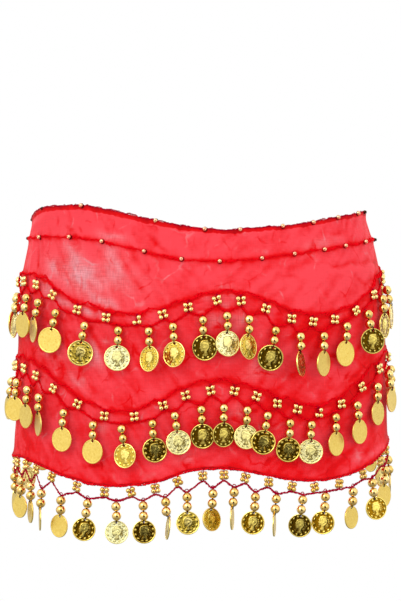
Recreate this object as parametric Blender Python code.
"""Belly dance hip scarf, tied round the hips: a sheer wrap with a knot and two
tails at the back, and three rows of beads and hanging coins.

Metres, +Z up. The front faces -Y, and +X is on the right seen from the front.
The origin is the centre of the waist opening, where the hips hold the wrap.
Positions on the worn form are given by arc, the way round the fullest section
from the front centre towards +X, by height, and by how far out from the cloth's
outer face they lie.
"""

import math

import bmesh
import bpy
import numpy as np

# Parting between pieces, and the cloth.
GAP = 0.0003
WALL = 0.0014
ROLL_OUT = 0.0010  # how far the rolled waist edge and hem stand out
ROLL_HEIGHT = 0.0032
ROLL_FOOT = 0.0054  # where the roll meets the flat cloth
RIDGE_OUT = 0.0009  # gathered ridge along a stitched line
RIDGE_HALF = 0.0024

# Worn form: the fullest section, then the half width and half depth by height.
FULL_WIDTH, FULL_DEPTH = 0.1715, 0.1142
SECTIONS = (
    # height, half_width, half_depth
    (0.030, 0.1475, 0.0930),
    (0.010, 0.1512, 0.0958),
    (-0.008, 0.1568, 0.0995),
    (-0.040, 0.1636, 0.1058),
    (-0.090, 0.1672, 0.1103),
    (-0.150, 0.1690, 0.1124),
    (-0.195, 0.1702, 0.1134),
    (-0.215, 0.1715, 0.1142),
    (-0.300, 0.1715, 0.1142),
)

# Heights by arc of the waist edge, the beaded line, the coin rows and the hem.
LINES = (
    # arc, edge, line, row_1, row_2, hem
    (-0.454, 0.0010, -0.0080, -0.0180, -0.0280, -0.0400),
    (-0.400, 0.0030, -0.0098, -0.0265, -0.0560, -0.0870),
    (-0.345, 0.0060, -0.0105, -0.0330, -0.0940, -0.1370),
    (-0.280, 0.0080, -0.0085, -0.0380, -0.1210, -0.1750),
    (-0.250, 0.0090, -0.0070, -0.0384, -0.1180, -0.1940),
    (-0.222, 0.0115, -0.0060, -0.0384, -0.1148, -0.2035),
    (-0.190, 0.0208, -0.0057, -0.0385, -0.1146, -0.2038),
    (-0.160, 0.0230, -0.0057, -0.0448, -0.1233, -0.2098),
    (-0.130, 0.0230, -0.0062, -0.0612, -0.1408, -0.2189),
    (-0.100, 0.0190, -0.0099, -0.0690, -0.1555, -0.2260),
    (-0.070, 0.0135, -0.0155, -0.0748, -0.1614, -0.2270),
    (-0.040, 0.0077, -0.0226, -0.0704, -0.1522, -0.2231),
    (-0.010, 0.0028, -0.0270, -0.0613, -0.1375, -0.2135),
    (0.020, 0.0003, -0.0280, -0.0546, -0.1336, -0.2112),
    (0.050, 0.0018, -0.0259, -0.0590, -0.1407, -0.2157),
    (0.080, 0.0041, -0.0224, -0.0701, -0.1516, -0.2215),
    (0.110, 0.0070, -0.0188, -0.0755, -0.1565, -0.2227),
    (0.140, 0.0114, -0.0149, -0.0706, -0.1452, -0.2182),
    (0.170, 0.0150, -0.0114, -0.0585, -0.1262, -0.2089),
    (0.200, 0.0181, -0.0083, -0.0415, -0.1130, -0.1975),
    (0.222, 0.0180, -0.0075, -0.0345, -0.1075, -0.1905),
    (0.250, 0.0150, -0.0075, -0.0335, -0.1060, -0.1830),
    (0.280, 0.0110, -0.0085, -0.0330, -0.1020, -0.1680),
    (0.345, 0.0060, -0.0105, -0.0320, -0.0860, -0.1350),
    (0.400, 0.0030, -0.0098, -0.0265, -0.0560, -0.0870),
    (0.454, 0.0010, -0.0080, -0.0180, -0.0280, -0.0400),
)

# The wrap is parted at the sides, and its ends are gathered up to the knot.
SIDE_ARC = 0.236
END_ARC = 0.4503
GATHER = 0.0011  # depth of the gathers at the knot
FRONT_COLUMNS, END_COLUMNS = 28, 13

# Coin trims: the line each hangs from and its end coins.
TRIMS = (
    # name, line, first, last, on_cloth, coin_radius
    ("coin_row_1", 3, -12, 13, True, 0.0115),
    ("coin_row_2", 4, -13, 14, True, 0.0109),
    ("coin_row_hem", 5, -14, 12, False, 0.0104),
)

# By trim, for the coins from -9 to 9: the arc of each in millimetres, the arc of the
# cluster after each, how far each hangs below the usual and to one side of its own
# place, in millimetres, and how far each has turned on its strand, in degrees.
SHOWN = 9
DROPS = {
    "coin_row_1": (-238, -210, -182, -163, -140, -108, -75, -47, -25, 1)
    + (23, 43, 67, 90, 113, 139, 167, 196, 225),
    "coin_row_2": (-218, -194, -174, -157, -128, -98, -71, -43, -23, 0)
    + (20, 40, 58, 79, 99, 124, 148, 177, 205),
    "coin_row_hem": (-190, -173, -157, -133, -105, -77, -52, -32, -13, 10)
    + (29, 48, 67, 92, 115, 146, 173, 200, 227),
}
CLUSTERS = {
    "coin_row_1": (-224, -195, -171, -147, -118, -88, -59, -35, -12)
    + (14, 36, 59, 83, 104, 127, 153, 182, 210),
    "coin_row_2": (-206, -185, -165, -142, -115, -88, -60, -34, -14)
    + (8, 29, 49, 68, 87, 108, 132, 157, 186),
    "coin_row_hem": (-182, -165, -144, -116, -88, -63, -41, -21, 1)
    + (20, 39, 60, 82, 104, 130, 159, 188, 214),
}
HANGS = {
    "coin_row_1": (2, 4, 2, 2, -1, -1, -4, -1, 1, 3, 3, 3, 5, 3, 0, -4, -4, -1, 0),
    "coin_row_2": (3, 4, 6, 6, 2, -2, -4, -1, 2, 5, 5, 3, 2, 1, -2, -5, -3, -1, -1),
    "coin_row_hem": (3, 4, 6, 4, -1, -1, 0, 1, 3, 3, 1, 2, 0, -2, -4, -2, 0, 0, 0),
}
SWAYS = {
    "coin_row_1": (0, 0, -1, -4, -4, -2, 0, 1, 1, 2, 0, -2, -6, -2, -3, -3, -1, 0, 0),
    "coin_row_2": (0, -1, 1, 1, 0, 0, 4, 2, 3, 1, -1, -1, -4, -2, -2, 0, 1, 0, -1),
    "coin_row_hem": (-2, -2, -1, -3, -3, 0, 1, 2, 1, -1, -2, -2, -2, -2, -3, -1, 5, 0, 0),
}
TURNS = {
    "coin_row_1": (8, -5, -2, 22, -16, -37, -24, 34, 28, 13)
    + (-17, -41, 23, -50, -32, -8, 30, 3, 9),
    "coin_row_2": (-14, -28, 4, 28, 2, 9, 12, -14, -8, 12)
    + (-23, -2, 4, 14, 21, -18, -10, -2, 8),
    "coin_row_hem": (-14, 14, 38, 6, -26, -25, -17, 74, -4, -39)
    + (-76, 16, -68, 30, 38, -14, 33, 18, 0),
}
HIDDEN_PITCH = 0.0255  # of the rest, round the back
HIDDEN_TURN = 14  # the rest have turned by up to this
TURN_STEP, MOST_STEPS = 3, 60  # a coin turns on by these to clear the one before
LAPPED = 0.0020  # every other coin hangs this much further out

# A trim's parts, as drops below its seam.
CORD_HALF = 0.0010
CORD_OUT = 0.0014
CORD_AT_CLUSTER, CORD_AT_DROP = 0.0106, 0.0142
CLUSTER_HALF = 0.0045  # four beads, two by two
CLUSTER_OUT = 0.0029
CLUSTER_TOP = 0.0012
HEM_SEAT = 0.0006  # top of the threads that hold a cluster to the hem
CLUSTER_NECK = 0.7  # its top and bottom against its width
STRAND_HALF = 0.0013
NECK_HALF = 0.0009
BEAD_RADIUS = 0.00415
BEAD_FACE, BEAD_SHOULDER = 0.84, 0.46  # a bead's flats and shoulders, by radius
BEAD_OUT = 0.0048
BEAD_DROPS = (0.0190, 0.0275)
STRAIGHT = 0.2  # share of a strand that hangs straight before it leans out
COIN_HALF = 0.0006
COIN_TOP, COIN_DROP = 0.0315, 0.0430  # its upper edge, and the middle of the largest
COIN_SIDES = 12

# Knot: two gathered ends with a band wound over them, as turned about X.
KNOT_TURNING = (
    # across, radius
    (-0.0220, 0.0080),
    (-0.0200, 0.0135),
    (-0.0140, 0.0165),
    (-0.0085, 0.0150),
    (-0.0075, 0.0180),
    (0.0000, 0.0205),
    (0.0075, 0.0180),
    (0.0085, 0.0150),
    (0.0140, 0.0165),
    (0.0200, 0.0135),
    (0.0220, 0.0080),
)
KNOT_SIDES = 12
KNOT_DEEP = 0.62  # its depth against its height
KNOT_LEAN = 0.22
KNOT_HEIGHT = -0.019
KNOT_SEAT = 0.001  # how far below its middle it meets the pleats

# Tails, hung from under the knot.
TAIL_TOP, TAIL_LENGTH = -0.0350, 0.146
TAIL_TOP_WIDTH, TAIL_END_WIDTH = 0.014, 0.036
TAIL_OUT = 0.0032
TAIL_INSET, TAIL_SPREAD = 0.0015, 0.018  # from the centre back, at top and end
TAIL_SLANT = 0.016  # its end is cut at a slant
TAIL_FOLD = 0.0011
TAIL_ROWS, TAIL_COLUMNS = 9, 6

CLOTH_RED = (0.80, 0.02, 0.05)
KNOT_RED = (0.74, 0.015, 0.04)
GOLD = (0.80, 0.58, 0.22)


def arc_table():
    """Angles round the fullest section, with the arc to each from the front."""
    angles = np.linspace(-math.pi, math.pi, 7201)
    steps = np.hypot(
        FULL_WIDTH * np.diff(np.sin(angles)), FULL_DEPTH * np.diff(np.cos(angles))
    )
    arcs = np.concatenate([[0.0], np.cumsum(steps)])
    return arcs - arcs[-1] / 2, angles


UP = np.array([0.0, 0.0, 1.0])
ARCS, ANGLES = arc_table()
LAP = float(ARCS[-1] - ARCS[0])


LINE_ARCS = np.array([row[0] for row in LINES])
LINE_SLOPES = np.gradient(np.array(LINES), LINE_ARCS, axis=0)


def level(column, arc):
    """Height of one of the lines at an arc, curving smoothly through its rows."""
    i = min(max(int(np.searchsorted(LINE_ARCS, arc)) - 1, 0), len(LINES) - 2)
    step = LINE_ARCS[i + 1] - LINE_ARCS[i]
    share = min(max((arc - LINE_ARCS[i]) / step, 0.0), 1.0)
    rest = 1 - share
    ends = rest**2 * (1 + 2 * share) * LINES[i][column]
    ends += share**2 * (1 + 2 * rest) * LINES[i + 1][column]
    leans = rest * LINE_SLOPES[i][column] - share * LINE_SLOPES[i + 1][column]
    return float(ends + share * rest * step * leans)


def half_sizes(height):
    """Half width and half depth of the form at a height."""
    rows = SECTIONS[::-1]
    heights = [row[0] for row in rows]
    return (
        float(np.interp(height, heights, [row[1] for row in rows])),
        float(np.interp(height, heights, [row[2] for row in rows])),
    )


def frame_at(arc, height):
    """Point of the cloth's outer face, with the ways along it and out of it."""
    angle = float(np.interp(arc, ARCS, ANGLES))
    width, depth = half_sizes(height)
    point = np.array([width * math.sin(angle), -depth * math.cos(angle), height])
    along = np.array([width * math.cos(angle), depth * math.sin(angle), 0.0])
    along /= np.linalg.norm(along)
    outward = np.array([along[1], -along[0], 0.0])
    return point, along, outward


def on_form(arc, height, out):
    point, _, outward = frame_at(arc, height)
    return point + out * outward


def new_object(name, verts, faces, colour, metallic=0.0, roughness=0.6):
    """One closed solid with its own material, its faces turned outwards."""
    mesh = bpy.data.meshes.new(name)
    mesh.from_pydata([tuple(map(float, v)) for v in verts], [], faces)
    work = bmesh.new()
    work.from_mesh(mesh)
    bmesh.ops.recalc_face_normals(work, faces=work.faces)
    work.to_mesh(mesh)
    work.free()
    material = bpy.data.materials.new(name)
    material.use_nodes = True
    shader = material.node_tree.nodes["Principled BSDF"]
    shader.inputs["Base Color"].default_value = (*colour, 1.0)
    shader.inputs["Metallic"].default_value = metallic
    shader.inputs["Roughness"].default_value = roughness
    mesh.materials.append(material)
    obj = bpy.data.objects.new(name, mesh)
    bpy.data.collections["belly_dance_hip_scarf"].objects.link(obj)
    return obj


def closed_shell(outer, inner):
    """Vertices and faces of a wall between two like grids of points."""
    rows, columns = len(outer), len(outer[0])
    verts = [p for row in outer for p in row] + [p for row in inner for p in row]
    back = rows * columns
    faces = []
    for i in range(rows - 1):
        for j in range(columns - 1):
            a, b = i * columns + j, (i + 1) * columns + j
            faces.append((a, a + 1, b + 1, b))
            faces.append((back + a, back + b, back + b + 1, back + a + 1))
    rim = [(0, j) for j in range(columns)]
    rim += [(i, columns - 1) for i in range(1, rows)]
    rim += [(rows - 1, j) for j in range(columns - 2, -1, -1)]
    rim += [(i, 0) for i in range(rows - 2, 0, -1)]
    rim = [i * columns + j for i, j in rim]
    for a, b in zip(rim, rim[1:] + rim[:1]):
        faces.append((a, back + a, back + b, b))
    return verts, faces


def cloth_rows(arc):
    """The cloth's rows at an arc, from waist to hem: height, and how far out."""
    edge, line, one, two, hem = (level(column, arc) for column in range(1, 6))
    rows = [(edge, ROLL_OUT), (edge - ROLL_HEIGHT, ROLL_OUT)]
    rows.append((edge - ROLL_FOOT, 0.0))
    for seam, following in ((line, one), (one, two), (two, hem)):
        rows.append((seam + RIDGE_HALF, 0.0))
        rows.append((seam, RIDGE_OUT))
        rows.append((seam - RIDGE_HALF, 0.0))
        rows.append(((seam + following) / 2, 0.0))
    rows.append((hem + ROLL_FOOT, 0.0))
    rows.append((hem + ROLL_HEIGHT, ROLL_OUT))
    rows.append((hem, ROLL_OUT))
    return rows


def wrap_stretch(name, first, last, columns):
    """A stretch of the wrap from one arc to another, pleated towards the knot."""
    outer, inner = [], []
    for j in range(columns + 1):
        arc = first + (last - first) * j / columns
        nearness = max((abs(arc) - SIDE_ARC) / (END_ARC - SIDE_ARC), 0.0)
        pleat = GATHER * nearness**3
        front, back = [], []
        for i, (height, out) in enumerate(cloth_rows(arc)):
            fold = pleat * (-1) ** i
            front.append(on_form(arc, height, out + fold))
            back.append(on_form(arc, height, fold - WALL))
        outer.append(front)
        inner.append(back)
    verts, faces = closed_shell(outer, inner)
    return new_object(name, verts, faces, CLOTH_RED)


def drop_arc(name, index):
    """Arc of a coin and its strand."""
    drops = DROPS[name]
    shown = min(max(index, -SHOWN), SHOWN)
    return drops[shown + SHOWN] / 1000 + (index - shown) * HIDDEN_PITCH


def cluster_arc(name, index):
    """Arc of the cluster between a coin and the next."""
    if -SHOWN <= index < SHOWN:
        return CLUSTERS[name][index + SHOWN] / 1000
    return (drop_arc(name, index) + drop_arc(name, index + 1)) / 2


def hang(name, index):
    """How far below the usual a coin and its strand hang."""
    return HANGS[name][index + SHOWN] / 1000 if abs(index) <= SHOWN else 0.0


def sway(name, index):
    """How far to one side of its own place a coin hangs."""
    return SWAYS[name][index + SHOWN] / 1000 if abs(index) <= SHOWN else 0.0


def swayed(drop):
    """Share of a coin's sway at a drop, none down to the strand's first bead."""
    return max((drop - BEAD_DROPS[0]) / (COIN_DROP - BEAD_DROPS[0]), 0.0)


def cluster_hang(name, index, on_cloth):
    """How far below the usual a cluster sits, drawn down by the strands beside it."""
    pull = (hang(name, index) + hang(name, index + 1)) / 4
    return max(pull, 0.0) if on_cloth else 0.0


def coin_out(turn, on_cloth, radius, index):
    """How far out a coin's centre hangs, so that its edge clears the cloth."""
    lapped = LAPPED * (index % 2)
    if not on_cloth:
        return lapped - LAPPED / 2 - WALL / 2
    reach = radius * abs(math.sin(turn)) + COIN_HALF * math.cos(turn)
    return max(BEAD_OUT, reach + 3 * GAP) + lapped


def coin_span(arc, height, radius, turn, out):
    """The ends of a coin's level diameter, seen from above."""
    point, along, outward = frame_at(arc, height)
    centre = point + out * outward
    way = math.cos(turn) * along + math.sin(turn) * outward
    return (centre - radius * way)[:2], (centre + radius * way)[:2]


def spans_apart(one, two):
    """Least distance between two flat lines that don't cross, or 0."""

    def side(a, b, c):
        return (b[0] - a[0]) * (c[1] - a[1]) - (b[1] - a[1]) * (c[0] - a[0])

    if side(*one, two[0]) * side(*one, two[1]) < 0:
        if side(*two, one[0]) * side(*two, one[1]) < 0:
            return 0.0
    least = 1.0
    for line, ends in ((one, two), (two, one)):
        way = line[1] - line[0]
        for end in ends:
            share = min(max(float((end - line[0]) @ way / (way @ way)), 0.0), 1.0)
            least = min(least, float(np.linalg.norm(line[0] + share * way - end)))
    return least


def hung_coins(name, column, first, last, on_cloth, radius):
    """Arc, sway, hang, turn and out of each coin, turned to clear the last."""
    coins, before = [], None
    for index in range(first, last + 1):
        arc = drop_arc(name, index)
        aside, lower = sway(name, index), hang(name, index)
        height = level(column, arc) - COIN_TOP - radius - lower
        wanted = HIDDEN_TURN * math.cos(index)
        if abs(index) <= SHOWN:
            wanted = TURNS[name][index + SHOWN]
        for step in range(MOST_STEPS):
            swing = TURN_STEP * ((step + 1) // 2) * (1 if step % 2 else -1)
            turn = math.radians(wanted + swing)
            out = coin_out(turn, on_cloth, radius, index)
            span = coin_span(arc + aside, height, radius, turn, out)
            if before is None or spans_apart(before, span) > 2 * COIN_HALF + 2 * GAP:
                break
        coins.append((arc, aside, lower, turn, out))
        before = span
    return coins


class Trim:
    """A coin trim's solid: a cord with clusters on top and strands below."""

    def __init__(self, column, on_cloth, radius):
        self.column, self.on_cloth, self.radius = column, on_cloth, radius
        self.verts, self.faces = [], []

    def ring(self, arc, drop, half_along, half_out, half_up, out, **more):
        """Four corners about a point below the seam, upright if half_up is given."""
        turn, lean = more.get("turn", 0.0), more.get("lean", 0.0)
        height = level(self.column, arc) - drop
        point, along, outward = frame_at(arc + more.get("aside", 0.0), height)
        centre = point + out * outward
        way = math.cos(turn) * along + math.sin(turn) * outward
        across = math.cos(turn) * outward - math.sin(turn) * along
        start = len(self.verts)
        if half_up:
            corners = ((half_out, half_up), (half_out, -half_up))
            corners += ((-half_out, -half_up), (-half_out, half_up))
            for off, up in corners:
                self.verts.append(centre + off * across + up * UP)
        else:
            corners = ((-half_along, half_out), (half_along, half_out))
            corners += ((half_along, -half_out), (-half_along, -half_out))
            for side, off in corners:
                self.verts.append(centre + side * (way + lean * UP) + off * across)
        return list(range(start, start + 4))

    def band(self, one, two, skip=None):
        for i in range(4):
            if i != skip:
                k = (i + 1) % 4
                self.faces.append((one[i], one[k], two[k], two[i]))

    def cluster(self, arc, lower, base, cord_out):
        """Four beads as one block, grown from the cord's upper face."""
        out = CLUSTER_OUT if self.on_cloth else cord_out
        half = CLUSTER_HALF
        ends = [level(self.column, arc + side * half) for side in (-1, 1)]
        lean = (ends[1] - ends[0]) / (2 * half)
        below = base
        for drop, size in (
            (CLUSTER_TOP + 1.5 * half, 1.0),
            (CLUSTER_TOP + 0.5 * half, 1.0),
            (CLUSTER_TOP if self.on_cloth else HEM_SEAT, CLUSTER_NECK),
        ):
            thick = half * size / 2
            ring = self.ring(arc, drop + lower, half * size, thick, 0, out, lean=lean)
            self.band(below, ring)
            below = ring
        self.faces.append(tuple(below))

    def strand(self, arc, aside, lower, turn, last, base, cord_out):
        """Two beads and a coin, hung from the cord's lower face."""
        first = BEAD_OUT if self.on_cloth else cord_out
        square = BEAD_FACE * BEAD_RADIUS
        tall = BEAD_SHOULDER * BEAD_RADIUS
        neck = (BEAD_DROPS[0] + BEAD_DROPS[1]) / 2
        above = base
        for drop, half in (
            (BEAD_DROPS[0] - tall, square),
            (BEAD_DROPS[0] + tall, square),
            (neck, NECK_HALF),
            (BEAD_DROPS[1] - tall, square),
            (BEAD_DROPS[1] + tall, square),
        ):
            down = (drop - CORD_AT_DROP) / (COIN_DROP - CORD_AT_DROP)
            lean = max(down - STRAIGHT, 0) / (1 - STRAIGHT)
            out = first + (last - first) * lean
            more = {"turn": turn * down, "aside": aside * swayed(drop)}
            ring = self.ring(arc, drop + lower, half, half, 0, out, **more)
            self.band(above, ring)
            above = ring
        self.coin(arc, aside, lower, turn, above, last)

    def coin(self, arc, aside, lower, turn, above, out):
        height = level(self.column, arc) - COIN_TOP - self.radius - lower
        point, along, outward = frame_at(arc + aside, height)
        centre = point + out * outward
        way = math.cos(turn) * along + math.sin(turn) * outward
        across = math.cos(turn) * outward - math.sin(turn) * along
        tilt = math.atan2(aside, COIN_DROP - BEAD_DROPS[0])
        front, back = [], []
        for i in range(COIN_SIDES):
            angle = 2 * math.pi * (i + 0.5) / COIN_SIDES - tilt
            rim = self.radius * (math.sin(angle) * way + math.cos(angle) * UP)
            for side, group in ((COIN_HALF, front), (-COIN_HALF, back)):
                group.append(len(self.verts))
                self.verts.append(centre + rim + side * across)
        top = [front[-1], front[0], back[0], back[-1]]
        self.band(above, top)
        for i in range(COIN_SIDES - 1):
            self.faces.append((front[i], front[i + 1], back[i + 1], back[i]))
        self.faces.append(tuple(front))
        self.faces.append(tuple(reversed(back)))

    def build(self, name, first, last, coins):
        """The cord from end to end, opened where clusters and strands join it."""
        cord_out = CORD_OUT if self.on_cloth else -WALL / 2
        stops = []
        for index in range(first - 1, last + 1):
            lower = cluster_hang(name, index, self.on_cloth)
            stops.append((cluster_arc(name, index), 0.0, lower, None, None))
            if index < last:
                stops.append(coins[index + 1 - first])
        before = None
        for arc, aside, lower, turn, out in stops:
            cluster = turn is None
            half = CLUSTER_HALF * CLUSTER_NECK if cluster else STRAND_HALF
            drop = lower + (CORD_AT_CLUSTER if cluster else CORD_AT_DROP)
            left, right = (
                self.ring(arc + side * half, drop, 0, CORD_HALF, CORD_HALF, cord_out)
                for side in (-1, 1)
            )
            if before is None:
                self.faces.append(tuple(left))
            else:
                self.band(before, left)
            self.band(left, right, 3 if cluster else 1)
            if cluster:
                base = [left[0], right[0], right[3], left[3]]
                self.cluster(arc, lower, base, cord_out)
            else:
                base = [left[1], right[1], right[2], left[2]]
                self.strand(arc, aside, lower, turn, out, base, cord_out)
            before = right
        self.faces.append(tuple(reversed(before)))


def coin_trim(name, column, first, last, on_cloth, radius):
    trim = Trim(column, on_cloth, radius)
    coins = hung_coins(name, column, first, last, on_cloth, radius)
    trim.build(name, first, last, coins)
    return new_object(name, trim.verts, trim.faces, GOLD, 1.0, 0.3)


def knot():
    """The knot at the centre back, turned about X, squashed and leaning."""
    deepest = max(radius for _, radius in KNOT_TURNING) * KNOT_DEEP
    seat = half_sizes(KNOT_HEIGHT - KNOT_SEAT)[1]
    inner = seat + RIDGE_OUT + GATHER + GAP
    verts, faces = [], []
    for across, radius in KNOT_TURNING:
        for k in range(KNOT_SIDES):
            angle = 2 * math.pi * k / KNOT_SIDES
            up = radius * math.sin(angle)
            away = radius * math.cos(angle) * KNOT_DEEP
            verts.append(
                (across + KNOT_LEAN * up, inner + deepest + away, KNOT_HEIGHT + up)
            )
    for i in range(len(KNOT_TURNING) - 1):
        for k in range(KNOT_SIDES):
            a, b = i * KNOT_SIDES + k, i * KNOT_SIDES + (k + 1) % KNOT_SIDES
            faces.append((a, b, b + KNOT_SIDES, a + KNOT_SIDES))
    faces.append(tuple(range(KNOT_SIDES)))
    faces.append(tuple(range(len(verts) - KNOT_SIDES, len(verts))))
    return new_object("knot", verts, faces, KNOT_RED)


def tail(name, side):
    """One tied end, hanging from under the knot and spreading as it falls."""
    outer, inner = [], []
    for i in range(TAIL_ROWS + 1):
        down = i / TAIL_ROWS
        width = TAIL_TOP_WIDTH + (TAIL_END_WIDTH - TAIL_TOP_WIDTH) * down**0.8
        middle = TAIL_INSET + TAIL_TOP_WIDTH / 2 + TAIL_SPREAD * down
        front, back = [], []
        for j in range(TAIL_COLUMNS + 1):
            across = j / TAIL_COLUMNS - 0.5
            height = TAIL_TOP - TAIL_LENGTH * down + TAIL_SLANT * across * side * down
            ripple = 1 + math.cos(4 * math.pi * across)
            fold = TAIL_FOLD * ripple * (0.4 + 0.6 * down)
            arc = side * (LAP / 2 - middle) + across * width
            front.append(on_form(arc, height, TAIL_OUT + fold + WALL / 2))
            back.append(on_form(arc, height, TAIL_OUT + fold - WALL / 2))
        outer.append(front)
        inner.append(back)
    verts, faces = closed_shell(outer, inner)
    return new_object(name, verts, faces, CLOTH_RED)


def build():
    for obj in list(bpy.data.objects):
        bpy.data.objects.remove(obj, do_unlink=True)
    collection = bpy.data.collections.new("belly_dance_hip_scarf")
    bpy.context.scene.collection.children.link(collection)
    side = SIDE_ARC
    part = GAP / 2
    wrap_stretch("wrap_front", part - side, side - part, FRONT_COLUMNS)
    wrap_stretch("wrap_end_right", side + part, END_ARC, END_COLUMNS)
    wrap_stretch("wrap_end_left", -END_ARC, -side - part, END_COLUMNS)
    for row in TRIMS:
        coin_trim(*row)
    knot()
    tail("tail_right", 1)
    tail("tail_left", -1)


build()
